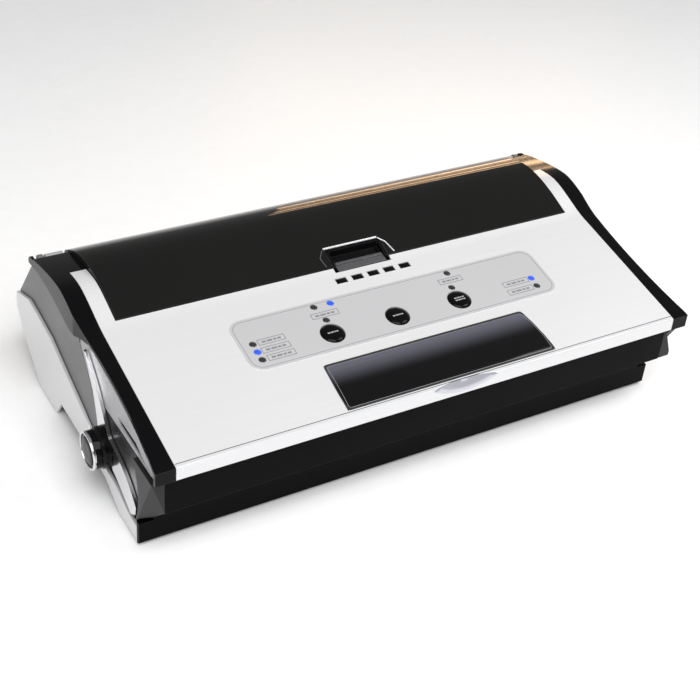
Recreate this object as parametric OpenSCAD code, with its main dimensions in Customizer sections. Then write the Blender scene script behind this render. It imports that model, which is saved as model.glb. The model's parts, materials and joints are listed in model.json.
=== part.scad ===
// Countertop vacuum sealer with a covered bag-roll compartment.
// Millimetres, +Z up, origin on the table under the middle of the machine.
// The side profiles are drawn from the lid's front edge (y = 0) towards the back, and
// placed() moves them so that the origin lands in the middle of the depth.

/* [Body] */
// Width across the lid's end caps
body_w = 400; // [392:1:416]
// Depth from the lid's front edge to the back of the base
body_d = 242; // [242:0.5:243]
// Height of the flat sealing deck on the base
deck_h = 65.4; // [65:0.1:65.5]
// Wall thickness of the moulded parts
wall = 2.5; // [2.2:0.1:2.7]

/* [Lid] */
// Height of the lid's front top edge
lid_front_h = 78; // [77.5:0.1:78.5]
// Slope of the flat control face
face_slope = 12; // [11.8:0.1:12.2]
// Distance back to where the face starts to rise over the roll
fold_y = 108; // [106:0.5:109]
// Width of each gloss end cap on top
cap_w = 12.8; // [12:0.1:13.5]
// Thickness of the steel plate
steel_t = 1; // [0.8:0.1:1.2]
// Depth of the bright front strip on top
strip_d = 3; // [2.8:0.1:3.2]

/* [Roll cover] */
// Half width of the tinted cover
cover_x = 175.7; // [174:0.1:176]
// Front edge of the cover
cover_front_y = 116.2; // [116:0.1:117]
// Height of the cover's crown
cover_top_h = 117.3; // [116.5:0.1:118]
// Thickness of the cover
cover_t = 2.4; // [2:0.1:2.6]

/* [Controls] */
// Diameter of the push buttons
button_d = 16.2; // [15:0.1:17]
// Spacing of the push buttons
button_pitch = 49; // [45:0.5:52]
// Distance of the buttons up the face
button_up = 65.4; // [63:0.1:67]
// Width of the control overlay
overlay_w = 236; // [230:1:240]
// Diameter of the round indicators
led_d = 4.6; // [3.5:0.1:5]

/* [Lever] */
// Distance of the lock shaft from the front edge
shaft_y = 78; // [78:0.1:78.5]
// Height of the lock shaft
shaft_z = 40; // [39.8:0.1:40.2]
// Diameter of the lock shaft
shaft_d = 8; // [7:0.1:8]

/* [Hidden] */
$fn = 48;
half_w = body_w / 2;
hinge = [202.5, 100.5];
cap_end = 198;
motor = [44, 32.5];
knuckle_r = 4.5;
pin_d = 3;
seam = 0.3;
cap_in = half_w - cap_w;
plate_x = cap_in - 0.2;
side_out = half_w - 2.7;
side_in = side_out - wall;
frame_in = half_w - 9.3;
arm_in = half_w - 2.2;
hub_out = half_w + 12;
lid_bottom = 66.2;
inner_top = 69.1;
strip_end_y = 164.5;
lid_end = [200.5, 106];
crest = [151, 113.8];
knuckle_in = 178;
knuckle_out = 190;
recess_r = 52;
window_x = 7;
overlay_x = 5.4;
overlay_up = 73;
slot_x = 4;
slot_up = 107;
latch_x = 0.8;
latch_w = 43;
grip_x = 12.6;
grip_r = 53.7;
grip_rise = 46.7;
grip_depth = 3.3;
grip_slope = 2.2;
lit_leds = [[-103.3, 66.2], [-38.6, 90.2], [109.6, 67.4]];
dark_leds = [[-103.3, 73.1], [-103.3, 59.4], [-50.9, 90.2], [53.4, 90.4], [109.3, 59.7]];
tab_leds = [[-48.4, 77.2], [49.2, 77.2]];
port = [149, 68];
screws = [[120, 105], [140, 154]];

// ---------- curves ----------
function bez(a, b, c, d, first = 0, n = 9) =
    [for (i = [first:n]) let (t = i / n, s = 1 - t)
        s * s * s * a + 3 * s * s * t * b + 3 * s * t * t * c + t * t * t * d];
function arc(c, r, a0, a1, n = 8) =
    [for (i = [0:n]) let (a = a0 + (a1 - a0) * i / n) c + r * [cos(a), sin(a)]];
function reversed(v) = [for (i = [len(v) - 1:-1:0]) v[i]];
function moved(v, d) = [for (p = v) p + d];
function round_rect(w, h, r) = concat(
    arc([w / 2 - r, h / 2 - r], r, 0, 90, 6), arc([r - w / 2, h / 2 - r], r, 90, 180, 6),
    arc([r - w / 2, r - h / 2], r, 180, 270, 6), arc([w / 2 - r, r - h / 2], r, 270, 360, 6));

// Top of the lid, seen from the side: flat face, rise over the roll, fall to the hinge
fold = [fold_y, lid_front_h + fold_y * tan(face_slope)];
lid_line = concat([[0, lid_front_h]],
    bez(fold, fold + [12, 2.6], crest - [13, 0], crest),
    bez(crest, crest + [12, 0], lid_end + [-14, 3.7], lid_end, 1));
function top(y) = lookup(y, lid_line);
function steps(y0, y1) = concat([y0],
    [for (p = lid_line) if (p.x > y0 + 0.1 && p.x < y1 - 0.1) p.x], [y1]);
function sheet(y0, y1, a, b) = let (s = steps(y0, y1))
    concat([for (y = s) [y, top(y) + a]], [for (y = reversed(s)) [y, top(y) + b]]);

// Top of the roll cover, seen from the side
cover_front = [cover_front_y, top(cover_front_y) + 0.2];
cover_crown = [166, cover_top_h];
cover_back = hinge + knuckle_r * [cos(57), sin(57)];
cover_line = concat(
    bez(cover_front, cover_front + [13, 6], cover_crown - [18, 0], cover_crown),
    bez(cover_crown, cover_crown + [17, 0], cover_back + [-9, 5.5], cover_back, 1));
function cover_top(y) = lookup(y, cover_line);

// ---------- placing ----------
module placed() {
    translate([0, -body_d / 2, 0]) children();
}

module along_x(x0, x1) {
    translate([x0, 0, 0]) rotate([90, 0, 90]) linear_extrude(x1 - x0) children();
}

module left_side() {
    mirror([1, 0, 0]) children();
}

module both_sides() {
    children();
    left_side() children();
}

module on_face(x, up) {
    translate([x, 0, lid_front_h]) rotate([face_slope, 0, 0]) translate([0, up, 0]) children();
}

module box(from, to) {
    translate(from) cube(to - from);
}

module rod_x(x0, x1, d, y, z) {
    translate([x0, y, z]) rotate([0, 90, 0]) cylinder(d = d, h = x1 - x0);
}

module button_row() {
    for (i = [-1:1]) on_face(i * button_pitch - 1, button_up) children();
}

module led_row(places) {
    for (p = places) on_face(p.x, p.y) children();
}

module level_row() {
    for (i = [-2:2]) on_face(slot_x + 12.4 * i, slot_up) children();
}

module window_outline(grow = 0) {
    polygon(concat(
        [[-76 - grow, 42 + grow], [76 + grow, 42 + grow]],
        [[78.2 + grow, 30], [79.4 + grow, 17], [79.6 + grow, 4.8 - grow]],
        [[-78.6 - grow, 4.8 - grow], [-77.6 - grow, 22]]));
}

module ring(outer, inner, h) {
    linear_extrude(h) difference() {
        polygon(round_rect(outer.x, outer.y, 14));
        polygon(round_rect(inner.x, inner.y, 10));
    }
}

// ---------- base, outside ----------
pan_line = [[25.5, 18.4], [25.5, 3], [27, 1.5], [58, 1.5], [80, 14], [158, 14], [167, 1.5],
    [200, 1.5], [206, 6]];
pan_inner = [[204, 9], [199, 4], [169, 4], [160, 16.5], [79, 16.5], [57, 4], [28.5, 4],
    [28.5, 18.4]];

module base_pan() {
    color("#2a2a2c") placed() difference() {
        union() {
            along_x(-side_in + 0.4, side_in - 0.4) polygon(concat(pan_line, pan_inner));
            along_x(-half_w, half_w) polygon([[25.5, 18.4], [25.5, 3], [27, 1.5], [28.5, 1.5], [28.5, 18.4]]);
            for (x = [74, 102]) difference() {
                box([x, 29, 3.5], [x + 4, 59, 33]);
                rod_x(x - 1, x + 5, 28.4, motor.x, motor.y);
            }
            for (y = [33, 49]) box([118, y, 3.5], [156, y + 4, 18.2]);
            for (x = [-146, -54], y = [36, 66]) translate([x, y, 3.5]) cylinder(d = 6, h = 18.4);
        }
        both_sides() for (p = screws) translate([p.x, p.y, 13]) cylinder(d = 3.3, h = 5);
        both_sides() for (y = [42, 184]) translate([165, y, 1]) cylinder(d = 5.2, h = 4);
        for (i = [-6:6]) box([i * 9 - 1.5, 92, 13], [i * 9 + 1.5, 128, 17.5]);
    }
}

module rubber_feet() {
    color("#1b1b1b") placed() both_sides() for (y = [42, 184]) translate([165, y, 0]) {
        cylinder(d = 14, h = 1.5);
        translate([0, 0, 1.4]) cylinder(d = 5.1, h = 4);
    }
}

module base_screws() {
    color("silver") placed() both_sides() for (p = screws) translate([p.x, p.y, 11.9]) {
        difference() {
            cylinder(d = 6, h = 2.1);
            translate([0, 0, -0.1]) cylinder(d = 2.6, h = 1.2, $fn = 6);
        }
        translate([0, 0, 2]) cylinder(d = 3, h = 14);
    }
}

module trough_cuts() {
    box([-158, 48, 50.2], [158, 90, deck_h + 1]);
    box([-158.6, 18.8, 57.5], [158.6, 33.2, deck_h + 1]);
    translate([0, 69, deck_h - 1.6]) ring([333, 58.6], [321, 46.6], 3);
    both_sides() box([174, 68, 40], [187, 94, deck_h + 1]);
    translate([port.x, port.y, 40]) cylinder(d = 6, h = 12);
}

module front_housing() {
    color("#1d1d1f") placed() difference() {
        union() {
            along_x(-frame_in + 0.3, frame_in - 0.3) polygon([[8.8, deck_h], [8, deck_h - 0.8], [8, 38],
                [24.5, 21.5], [24.5, 18.7], [27, 18.7], [27, 22.6], [10.6, 39], [10.6, deck_h - 2.6],
                [117, deck_h - 2.6], [117, 18.7], [119.5, 18.7], [119.5, deck_h]]);
            box([-160.2, 45.8, 48], [160.2, 92.2, deck_h - 2]);
            box([-161, 16.5, 55], [161, 35.5, deck_h - 2]);
            both_sides() translate([screws[0].x, screws[0].y, 16.8]) cylinder(d = 9, h = deck_h - 18.8);
            for (x = [-100:50:100]) box([x - 1, 92, 50], [x + 1, 118, deck_h - 2]);
        }
        trough_cuts();
        both_sides() translate([screws[0].x, screws[0].y, 10]) cylinder(d = 3.1, h = 22);
    }
}

cheek_front = [[94, 33], [98.8, 54.5], [107.6, 69], [122.8, 88.8]];
panel_seam = [[239, 57], [214, 65.5], [201, 64], [173, 60], [155, 53], [138, 47], [121, 41],
    [104, 34], [93, 23.5]];
back_line = [[240, 57], [242, 50.5], [242, 44], [230, 27], [214, 13.5], [206.4, 6.4]];

module frame_outline() {
    polygon([[27.5, 21.6], [5.5, deck_h], [103, deck_h], [98.4, 55.2], [93.6, 34], [92, 20], [29, 18.7]]);
}

module side_frame(front) {
    difference() {
        union() {
            hull() {
                along_x(frame_in, frame_in + 0.1) polygon([[8, deck_h], [8, 38.5], [24.5, 21.6],
                    [40, 21.6], [40, deck_h]]);
                along_x(half_w - 0.1, half_w) polygon(front);
            }
            along_x(side_in, side_out) frame_outline();
            along_x(half_w - 3, half_w) intersection() {
                frame_outline();
                polygon([[0, 18.7], [0, deck_h], [40, deck_h], [40, 18.7]]);
            }
        }
        rod_x(side_out, half_w + 1, 2 * recess_r, shaft_y, shaft_z);
        rod_x(side_in - 8, half_w, 12.02, shaft_y, shaft_z);
        box([frame_in - 1, 30, 24], [side_in, 60, deck_h - 3]);
    }
}

module left_side_frame() {
    color("#434446") placed() left_side()
        side_frame([[27.5, 21.6], [5.5, deck_h], [40, deck_h], [40, 21.6]]);
}

module right_side_frame() {
    color("#434446") placed()
        side_frame([[25, 21.6], [8, 38.5], [8, 42], [22, deck_h], [40, deck_h], [40, 21.6]]);
}

module side_panel() {
    along_x(half_w - 2.4, half_w) difference() {
        polygon(concat(panel_seam, [[77, 21.5], [60, 20], [46, 15.5], [36, 13.6], [29.2, 13.6],
            [29.2, 1.5], [57, 1.5], [79, 13], [88, 14], [152, 15.5], [158, 15.5], [168, 1.5],
            [200, 1.5]], reversed(back_line)));
        translate([shaft_y, shaft_z]) circle(r = 14.6);
    }
}

module right_side_panel() {
    color("#e9e9ea") placed() side_panel();
}

module left_side_panel() {
    color("#e9e9ea") placed() left_side() side_panel();
}

module cheek() {
    difference() {
        union() {
            along_x(side_in, side_out) polygon(concat(cheek_front,
                [for (y = steps(126, 184)) [y, top(y) - 5]],
                [[190, 103.2], [198, 100.4], [207.6, 97.3]], back_line,
                [[203, 17], [94, 17]]));
            along_x(side_in - 3.2, side_in + 0.1) polygon(concat(
                arc(hinge, 5, 100, -20, 6), [[200, 84], [190, 84]]));
        }
        rod_x(side_in - 5, side_in - 0.6, pin_d + 0.05, hinge.x, hinge.y);
    }
}

module right_cheek() {
    color("#8b8c8e") placed() cheek();
}

module left_cheek() {
    color("#8b8c8e") placed() left_side() cheek();
}

back_mid = [236, 35.5];
back_lean = atan2(12, 17);
inlet_x = -150;

module on_back(x) {
    translate([x, back_mid.x, back_mid.y]) rotate([-90 - back_lean, 0, 0]) children();
}

module rear_cover() {
    color("#8b8c8e") placed() difference() {
        along_x(-side_in + 0.3, side_in - 0.3) polygon(concat(
            [[207.6, 96.4], [209.2, 96.4]], back_line,
            [[206.4, 10], [212.6, 16.2], [228, 29], [239.4, 45.2], [239.4, 49.8], [237.4, 55.6]]));
        for (i = [-7:7]) translate([i * 12, 223, 78]) rotate([-51, 0, 0])
            cube([4, 20, 12], center = true);
        on_back(inlet_x) cube([25, 15.4, 16], center = true);
    }
}

module mains_inlet() {
    color("#151515") placed() on_back(inlet_x) {
        difference() {
            union() {
                translate([0, 0, -5.6]) cube([24.4, 15, 11], center = true);
                translate([0, 0, -4.1]) cube([30, 20, 2], center = true);
            }
            translate([0, 0, -4]) cube([19, 10, 10], center = true);
        }
        for (x = [-4.3, 4.3]) translate([x, 0, -9.5]) cylinder(d = 2.4, h = 7);
    }
}

// ---------- base, inside ----------
module roll_cradle() {
    color("#3a3a3c") placed() difference() {
        union() {
            along_x(-175.2, 175.2) polygon(concat([[120.3, 95], [120.3, 72]],
                arc([156.5, 72], 36.2, 180, 360, 14), [[192.7, 86], [184, 86], [178, 95]]));
            both_sides() translate([screws[1].x, screws[1].y, 16.8]) cylinder(d = 9, h = 22);
        }
        along_x(-173, 173) polygon(concat([[122.5, 97], [122.5, 72]],
            arc([156.5, 72], 34, 180, 360, 14), [[190.5, 97]]));
        both_sides() translate([screws[1].x, screws[1].y, 10]) cylinder(d = 3.1, h = 22);
    }
}

module cutter_rail() {
    color("silver") placed() along_x(-168, 168)
        polygon([[122.7, 80], [124.2, 80], [124.2, 90.5], [131, 90.5], [131, 92], [122.7, 92]]);
}

module cutter_slider() {
    color("#b33a2e") placed() difference() {
        union() {
            along_x(-12, 12) polygon([[124.5, 84], [133.6, 84], [133.6, 95], [131.5, 98], [127, 98], [124.5, 95]]);
            along_x(-4, 4) polygon([[126.5, 97.5], [131.8, 97.5], [131, 99.4], [127.4, 99.4]]);
        }
        along_x(-13, 13) polygon([[123, 90.1], [131.4, 90.1], [131.4, 92.4], [123, 92.4]]);
        along_x(-1, 1) polygon([[127, 80], [134, 80], [134, 88.2], [127, 88.2]]);
    }
}

module cutter_blade() {
    color("silver") placed() along_x(-0.4, 0.4)
        polygon([[127.2, 88], [133.4, 88], [133.4, 84.5], [130, 79.5], [127.2, 84]]);
}

module heater_bar() {
    color("#c8b48a") placed() box([-158.2, 19.2, 57.7], [158.2, 32.8, 64.4]);
}

module heater_element() {
    color("silver") placed() for (y = [23, 27]) box([-156, y, 64.4], [156, y + 2.4, 64.75]);
}

module heater_tape() {
    color("#a98a63") placed() box([-158.2, 20, 64.8], [158.2, 32, 65.2]);
}

module drip_tray() {
    color("#2c2c2e") placed() difference() {
        translate([-9, 69, 50.5]) linear_extrude(14) polygon(round_rect(294, 41, 8));
        translate([-9, 69, 51.7]) linear_extrude(14) polygon(round_rect(291.6, 38.6, 7));
    }
}

module lower_gasket() {
    color("#3d3d40") placed() translate([0, 69, deck_h - 1.55]) ring([332.4, 58], [321.6, 47.2], 2);
}

module vacuum_port() {
    color("#d8d8d4") placed() translate([port.x, port.y, 0]) difference() {
        union() {
            translate([0, 0, 40]) cylinder(d = 5.8, h = 11);
            translate([0, 0, 50.3]) cylinder(d = 12, h = 1.6);
        }
        translate([0, 0, 39]) cylinder(d = 3, h = 14);
    }
}

module vacuum_hose() {
    color("#d9d4c4") placed() translate([port.x, port.y - 8, 34]) {
        translate([0, 8, 0]) difference() {
            cylinder(d = 8.6, h = 13.5);
            translate([0, 0, -0.5]) cylinder(d = 5.9, h = 15);
        }
        rotate([90, 0, -90]) rotate([0, 0, 180]) rotate_extrude(angle = 90) translate([8, 0]) difference() {
            circle(d = 8.6);
            circle(d = 5.9);
        }
        translate([0, 0, -8]) rotate([90, 0, 0]) difference() {
            cylinder(d = 8.6, h = 3.4);
            translate([0, 0, -0.5]) cylinder(d = 5.9, h = 5);
        }
    }
}

module pump_motor() {
    color("silver") placed() {
        rod_x(62, 117.8, 28, motor.x, motor.y);
        rod_x(58, 62.1, 10, motor.x, motor.y);
    }
}

module pump_head() {
    color("#d8d8d4") placed() {
        box([118, 31, 18.4], [156, 55.6, 46.4]);
        translate([port.x, 55, 26]) rotate([-90, 0, 0]) difference() {
            cylinder(d = 5.8, h = 4.6);
            translate([0, 0, 0.8]) cylinder(d = 3, h = 5);
        }
    }
}

module power_board() {
    color("#2f6b3f") placed() {
        box([-150, 31, 22], [-50, 70.5, 23.6]);
        box([-144, 36, 23.6], [-112, 62, 45]);
        box([-106, 38, 23.6], [-92, 58, 38]);
        for (x = [-84, -70]) translate([x, 48, 23.5]) cylinder(d = 10, h = 16);
        box([-62, 36, 23.6], [-54, 66, 30]);
    }
}

module vacuum_switch() {
    color("#c9c9cc") placed() {
        translate([10, 43, 4.1]) cylinder(d = 26, h = 12);
        translate([10, 43, 16]) cylinder(d = 8, h = 10);
    }
}

module lid_switches() {
    color("#b8322a") placed() both_sides() {
        box([176, 46, 50], [184, 66, 62.7]);
        box([179, 66.2, 52], [181, 67.6, 60]);
        box([179, 65.9, 58], [181, 66.3, 60]);
    }
}

module shaft_bushes() {
    color("#e8e4d8") placed() both_sides() difference() {
        union() {
            rod_x(side_in - 2.2, side_in, 17, shaft_y, shaft_z);
            rod_x(side_in - 0.1, side_out, 12, shaft_y, shaft_z);
        }
        rod_x(side_in - 3, side_out + 1, shaft_d + 0.1, shaft_y, shaft_z);
    }
}

module hinge_pins() {
    color("silver") placed() both_sides() rod_x(167, side_in - 0.8, pin_d, hinge.x, hinge.y);
}

// ---------- lid ----------
module face_holes() {
    button_row() translate([0, 0, -8]) cylinder(d = button_d + 0.8, h = 12);
    led_row(concat(lit_leds, dark_leds, tab_leds)) translate([0, 0, -8]) cylinder(d = led_d + 0.4, h = 12);
}

module lid_openings() {
    face_holes();
    level_row() cube([8.4, 4.9, 16], center = true);
    on_face(window_x, 0) translate([0, 0, -8]) linear_extrude(12) window_outline(0.3);
    box([latch_x - latch_w / 2 - 0.5, 112, 90], [latch_x + latch_w / 2 + 0.5, 117, 110]);
}

module lid_plate() {
    color("#d9dadb") placed() difference() {
        union() {
            along_x(-plate_x, plate_x) polygon(sheet(strip_d + 0.2, cover_front_y - 0.4, 0, -steel_t));
            both_sides() along_x(cover_x + 0.5, plate_x)
                polygon(sheet(cover_front_y - 2, strip_end_y, 0, -steel_t));
        }
        lid_openings();
    }
}

module lid_shell() {
    color("#bfc0c1") placed() difference() {
        union() {
            along_x(-cap_in, cap_in) polygon(sheet(strip_d + 0.4, 114.5, -steel_t - 0.1, -steel_t - 2.2));
            along_x(0.5 - side_in, side_in - 0.5)
                polygon([[111, lid_bottom], [114.5, lid_bottom], [114.5, 99], [111, 98]]);
            along_x(-cap_in, cap_in) polygon([[3.4, 69.4], [6.4, 69.4], [6.4, 77.4], [3.4, 76.8]]);
            both_sides() {
                along_x(cap_in - 1, side_in + 0.5) polygon(sheet(strip_d + 0.4, 118, -2.6, -4.8));
                along_x(side_in, side_out) polygon(concat(
                    [for (y = steps(3.4, 120)) [y, top(y) - 2.6]], [[121.4, 88.8], [106.4, 69.4],
                    [104.4, lid_bottom], [12, lid_bottom], [3.4, 68.6]]));
                along_x(knuckle_in, knuckle_out) polygon(sheet(110, 199.5, -2.8, -8.4));
                rod_x(knuckle_in, knuckle_out, 2 * knuckle_r, hinge.x, hinge.y);
            }
        }
        lid_openings();
        both_sides() rod_x(knuckle_in - 1, knuckle_out + 1, pin_d + 0.1, hinge.x, hinge.y);
        both_sides() along_x(side_out - 1.2, side_out + 1)
            polygon([[62, 74.6], [58, 70.4], [20, 68.4], [34, 74.6]]);
    }
}

module end_cap() {
    difference() {
        union() {
            along_x(cap_in, half_w) polygon(sheet(0, cap_end, 0, -2.2));
            along_x(cover_x + 0.5, cap_in + 1) polygon(sheet(strip_end_y + 0.3, cap_end, 0, -2.2));
            along_x(cap_in, half_w) polygon([[0, 68.6], [2.6, 68.6], [2.6, top(2.6) - 1], [0, lid_front_h - 1]]);
            along_x(half_w - 2, half_w) polygon(concat([for (y = steps(98, cap_end)) [y, top(y) - 1]],
                arc(hinge, 5, 85, -15), [[189, 101.2], [172, 99.8], [160, 98], [147, 95], [136, 92.3],
                [126, 92.4], [117, 95.6], [107, 97.4]]));
        }
        translate([half_w - 3.6 + 535.7, 65, 60]) cylinder(r = 535.7, h = 60, $fn = 360);
    }
}

module right_end_cap() {
    color("#101012") placed() end_cap();
}

module left_end_cap() {
    color("#101012") placed() left_side() end_cap();
}

module scoop(r, y, depth) {
    translate([grip_x, y, lid_front_h + grip_rise]) rotate([-90, 0, 0])
        cylinder(r1 = r, r2 = r - grip_slope * depth, h = depth, $fn = 180);
}

module front_strip() {
    color("#eeeeef") placed() difference() {
        along_x(-plate_x, plate_x) polygon([[0, 69], [1.6, 69], [2.2, 69.6], [2.2, 75.8], [strip_d, 76.2],
            [strip_d, top(strip_d)], [0.8, top(0.8)], [0, lid_front_h - 0.9]]);
        scoop(grip_r + 0.5, -0.1, grip_depth + 0.2);
    }
}

module finger_grip() {
    color("#f4f4f6") placed() difference() {
        intersection() {
            scoop(grip_r, 0, grip_depth);
            along_x(grip_x - 40, grip_x + 40) polygon([[0, 60], [0, 77], [0.8, 77.9], [3, 78.4], [3, 60]]);
        }
        scoop(grip_r, -0.5, grip_depth);
    }
}

module window() {
    color("#0c0c10") placed() intersection() {
        on_face(window_x, 0) translate([0, 0, -6]) linear_extrude(12) window_outline();
        on_face(window_x, 0) along_x(-90, 90) polygon(concat([[3, -2.6], [44, -2.6]],
            arc([23.4, -120.6], 122, 80.4, 99.6, 10)));
    }
}

module control_overlay() {
    color("#e3e4e5") placed() difference() {
        on_face(overlay_x, overlay_up) linear_extrude(0.35) polygon(round_rect(overlay_w, 43.4, 9));
        face_holes();
    }
}

module led(h) {
    translate([0, 0, 0.45 - h]) cylinder(d = led_d, h = h);
}

module leds_lit() {
    color("#3b6dff") placed() led_row(lit_leds) led(11.6);
}

module leds_dark() {
    color("#3c3c3f") placed() {
        led_row(dark_leds) led(11.6);
        led_row(tab_leds) led(11.6);
    }
}

module level_windows() {
    color("#0b0b0d") placed() level_row() translate([0, 0, -1.6]) cube([8, 4.5, 3], center = true);
}

module control_board() {
    color("#2f6b3f") placed() {
        on_face(overlay_x, overlay_up) translate([-116, -20, -12.8]) cube([232, 42, 1.6]);
        button_row() translate([-3, -3, -11.3]) cube([6, 6, 1.2]);
        on_face(40, 60) translate([0, 0, -17]) cube([30, 8, 4.3]);
    }
}

module button(i) {
    color("#161618") placed() on_face((i - 1) * button_pitch - 1, button_up) rotate_extrude()
        polygon([[0, 1.6], [4.5, 1.45], [6.6, 1.1], [7.6, 0.6], [button_d / 2, -0.3], [button_d / 2, -2.6],
            [2, -2.6], [2, -9.1], [0, -9.1]]);
}

module lid_inner_cover() {
    color("#1d1d1f") placed() difference() {
        box([-frame_in + 0.7, 8, 66.6], [frame_in - 0.7, 108, inner_top]);
        box([-159, 19.6, 66], [159, 32.4, 68.1]);
        translate([0, 69, 66]) ring([333, 58.6], [321, 46.6], 2.1);
        both_sides() box([177.8, 79.8, 66], [182.2, 88.2, 70]);
    }
}

module pressure_strip() {
    color("#b9b4aa") placed() box([-158.6, 20, 65.7], [158.6, 32, 68.1]);
}

module upper_gasket() {
    color("#3d3d40") placed() translate([0, 69, 66.15]) ring([332.6, 58.2], [321.4, 47], 1.95);
}

module lid_hooks() {
    color("silver") placed() both_sides() {
        along_x(178, 182) polygon([[80, inner_top + 1.6], [88, inner_top + 1.6], [88, 49],
            [86, 47], [79, 47], [79, 51], [84, 53], [84, 64], [80, 66]]);
        box([176, 79, inner_top + 0.1], [184, 89, inner_top + 1.7]);
    }
}

// ---------- roll cover ----------
module cover_pocket() {
    box([latch_x - latch_w / 2, 110, 90], [latch_x + latch_w / 2, 131.5, 120]);
}

module roll_cover() {
    color("#141312") placed() difference() {
        union() {
            along_x(-cover_x, cover_x) polygon(concat(cover_line, [hinge + [-1, 3]],
                reversed([for (p = cover_line) if (p.x < 200) p - [0, cover_t]])));
            rod_x(-cover_x, cover_x, 2 * knuckle_r, hinge.x, hinge.y);
            both_sides() along_x(cover_x - 2, cover_x) polygon(concat(
                [for (p = cover_line) if (p.x < 196) p - [0, 1]],
                reversed([for (p = cover_line) if (p.x < 196) p - [0, 5.6]])));
        }
        cover_pocket();
        both_sides() rod_x(165.5, cover_x + 1, pin_d + 0.1, hinge.x, hinge.y);
    }
}

latch_top = [for (p = cover_line) if (p.x < 131) p];
function latch_line(y, up = 0) = [y, 100.1 + (y - 110) * tan(face_slope) + up];

module latch_housing() {
    half = latch_w / 2 - 0.2;
    color("#0b0b0d") placed() difference() {
        along_x(latch_x - half, latch_x + half) polygon(concat(latch_top,
            [[131.2, cover_top(131.2)], [131.2, 101.9], [116.3, 98.6]]));
        along_x(latch_x - half + 2, latch_x + half - 2) polygon([latch_line(110), latch_line(128),
            [129, 120], [110, 120]]);
    }
}

module latch_trim() {
    color("#e6e2d6") placed() {
        along_x(latch_x - 20, latch_x + 20)
            polygon([[129.2, cover_top(129.2) + 0.1], [131, cover_top(131) + 0.1],
                [131, cover_top(131) + 1], [129.2, cover_top(129.2) + 1]]);
    }
}

module latch_tab() {
    half = latch_w / 2 - 2.6;
    color("#7d7e82") placed() along_x(latch_x - half, latch_x + half) polygon([
        latch_line(112.8, 0.35), latch_line(112.6, 1.2), latch_line(113.4, 2), latch_line(120.6, 2.2),
        latch_line(121.6, 1.6), latch_line(121.6, 0.35)]);
}

// ---------- lock lever ----------
module lever_shaft() {
    color("silver") placed() rod_x(-half_w - 4, half_w + 4, shaft_d, shaft_y, shaft_z);
}

crescent = concat(
    bez([66, 30.2], [56, 27], [48, 22], [37.5, 17.2]), [[30.6, 22], [29.4, 28.4]],
    bez([29.4, 28.4], [36, 36], [48, 46.5], [70, 50.5], 1));
horn = concat(
    bez([88.5, 34], [88, 48], [91.5, 72], [108.8, 93]), [[106.8, 92.6]],
    bez([106.8, 92.6], [93, 82], [78, 66], [70.5, 46], 1));

module lever_arms() {
    color("#e4e4e6") placed() left_side() difference() {
        union() {
            along_x(arm_in, half_w) polygon(crescent);
            along_x(arm_in, half_w) polygon(horn);
            rod_x(arm_in, half_w, 26.4, shaft_y, shaft_z);
        }
        rod_x(arm_in - 1, half_w + 1, shaft_d + 0.02, shaft_y, shaft_z);
    }
}

module hub(inner) {
    difference() {
        union() {
            rod_x(inner, half_w + 5, 27, shaft_y, shaft_z);
            rod_x(half_w + 4.9, hub_out - 0.6, 25, shaft_y, shaft_z);
        }
        rod_x(inner - 1, half_w + 4.5, shaft_d + 0.02, shaft_y, shaft_z);
        rod_x(hub_out - 4, hub_out, 22.2, shaft_y, shaft_z);
    }
}

module hub_cap() {
    rod_x(hub_out - 3.9, hub_out - 0.8, 22, shaft_y, shaft_z);
    difference() {
        rod_x(hub_out - 0.9, hub_out, 18, shaft_y, shaft_z);
        translate([hub_out - 0.5, shaft_y - 4, shaft_z]) rotate([0, 90, 0]) cylinder(d = 3, h = 2);
    }
}

module left_hub() {
    color("#d5d5d8") placed() left_side() hub(half_w + 0.1);
}

module left_hub_cap() {
    color("#101012") placed() left_side() hub_cap();
}

module right_shaft_cap() {
    color("#101012") placed() {
        hub(side_out + 0.4);
        rod_x(hub_out - 4.1, hub_out, 22.1, shaft_y, shaft_z);
    }
}

module lock_cams() {
    color("silver") placed() both_sides() difference() {
        union() {
            rod_x(183.6, 187.6, 14, shaft_y, shaft_z);
            along_x(183.6, 187.6) polygon(moved([[-6, 3], [-9, -3], [-5, -6], [4, -6]], [shaft_y, shaft_z]));
        }
        rod_x(182, 189, shaft_d + 0.02, shaft_y, shaft_z);
    }
}

base_pan();
front_housing();
left_side_frame();
right_side_frame();
left_side_panel();
right_side_panel();
left_cheek();
right_cheek();
rear_cover();
roll_cradle();
cutter_rail();
cutter_slider();
cutter_blade();
heater_bar();
heater_element();
heater_tape();
drip_tray();
lower_gasket();
vacuum_port();
vacuum_hose();
pump_motor();
pump_head();
power_board();
vacuum_switch();
lid_switches();
mains_inlet();
rubber_feet();
base_screws();
shaft_bushes();
hinge_pins();
lid_plate();
lid_shell();
left_end_cap();
right_end_cap();
front_strip();
finger_grip();
window();
control_overlay();
leds_lit();
leds_dark();
level_windows();
control_board();
lid_inner_cover();
upper_gasket();
pressure_strip();
lid_hooks();
roll_cover();
latch_housing();
latch_trim();
latch_tab();
lever_shaft();
lever_arms();
left_hub();
left_hub_cap();
right_shaft_cap();
lock_cams();
button(0);  // seal_button
button(1);  // stop_button
button(2);  // vacuum_button
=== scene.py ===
# %% [markdown]
# # A countertop vacuum sealer
# This lesson dresses a finished engineering frame. The frame is a set of named solids
# that already have the right size, place and joints, so nothing here moves them. Each
# cell either softens one of those solids, builds a more detailed piece in its place, or
# gives it a finish.

# %% Load the frame
import json
import math
import bmesh
import bpy
from mathutils import Matrix, Vector


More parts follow.
